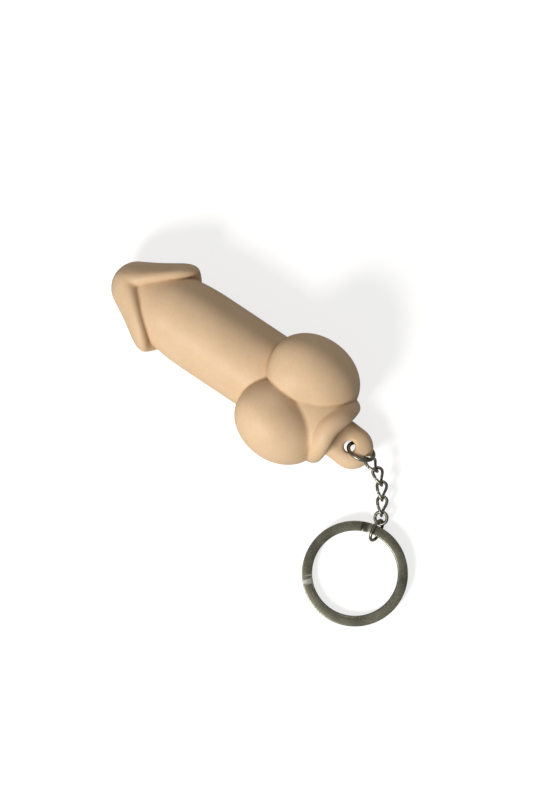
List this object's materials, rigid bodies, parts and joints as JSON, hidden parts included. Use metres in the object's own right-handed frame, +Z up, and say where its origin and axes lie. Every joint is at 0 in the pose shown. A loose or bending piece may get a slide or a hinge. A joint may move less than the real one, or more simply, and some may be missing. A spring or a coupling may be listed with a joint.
{
  "type": "keychain",
  "caption": "Adult novelty keychain: a soft flesh-coloured phallic figure whose shaft flexes, on a short curb chain with a flat-wire split ring.",
  "frame": {"origin": "on the table, under the middle of the bounding box of the whole keychain as it lies", "axes": "+Z up from the table, -X from the eyelet towards the figure's tip, +Y to the figure's left lobe; the split ring lies on the -Y side"},
  "size_m": [0.0997, 0.0525, 0.0246],
  "materials": {
    "soft_skin": "satin",
    "nickel": "worn satin"
  },
  "bodies": {
    "base": {"base": "soft_skin"},
    "shaft": {"shaft": "soft_skin"},
    "jump_ring": {"jump_ring": "nickel"},
    "link_1": {"chain_link_1": "nickel"},
    "link_2": {"chain_link_2": "nickel"},
    "link_3": {"chain_link_3": "nickel"},
    "link_4": {"chain_link_4": "nickel"},
    "connector": {"connector_ring": "nickel"},
    "loop": {"loop_ring": "nickel"},
    "split_ring": {"split_ring": "nickel"}
  },
  "joints": [
    {"name": "shaft_swing", "type": "hinge", "parent": "base", "child": "shaft", "pos_m": [-0.00681, 0.01087, 0.0085], "axis": [0, 0, -1], "range_deg": [-45, 45], "stiffness_Nm_per_rad": 0.02},
    {"name": "jump_ring_swing", "type": "hinge", "parent": "base", "child": "jump_ring", "pos_m": [0.01819, 0.00917, 0.0055], "axis": [0, 0, -1], "range_deg": [-30, 35]},
    {"name": "link_1_swing", "type": "hinge", "parent": "jump_ring", "child": "link_1", "pos_m": [0.02376, 0.00944, 0.00705], "axis": [0.0707, -0.7559, 0.6509], "range_deg": [-5, 25]},
    {"name": "link_2_swing", "type": "hinge", "parent": "link_1", "child": "link_2", "pos_m": [0.02683, 0.00855, 0.0057], "axis": [0.1955, -0.3413, 0.9194], "range_deg": [-25, 25]},
    {"name": "link_3_swing", "type": "hinge", "parent": "link_2", "child": "link_3", "pos_m": [0.02973, 0.0066, 0.00435], "axis": [-0.0626, 0.3447, -0.9366], "range_deg": [-25, 25]},
    {"name": "link_4_swing", "type": "hinge", "parent": "link_3", "child": "link_4", "pos_m": [0.03203, 0.00386, 0.00319], "axis": [-0.0041, 0.2485, -0.9686], "range_deg": [-25, 25]},
    {"name": "connector_swing", "type": "hinge", "parent": "link_4", "child": "connector", "pos_m": [0.03413, 0.00086, 0.00241], "axis": [0.173, 0.1972, -0.965], "range_deg": [-25, 25]},
    {"name": "loop_tilt", "type": "hinge", "parent": "connector", "child": "loop", "pos_m": [0.03502, -0.00097, 0.0022], "axis": [-0.8832, -0.4026, -0.2406], "range_deg": [-8, 30]},
    {"name": "split_ring_turn", "type": "hinge", "parent": "loop", "child": "split_ring", "pos_m": [0.03751, -0.01377, 0.00065], "axis": [0.01, -0.0514, 0.9986], "continuous": true}
  ]
}
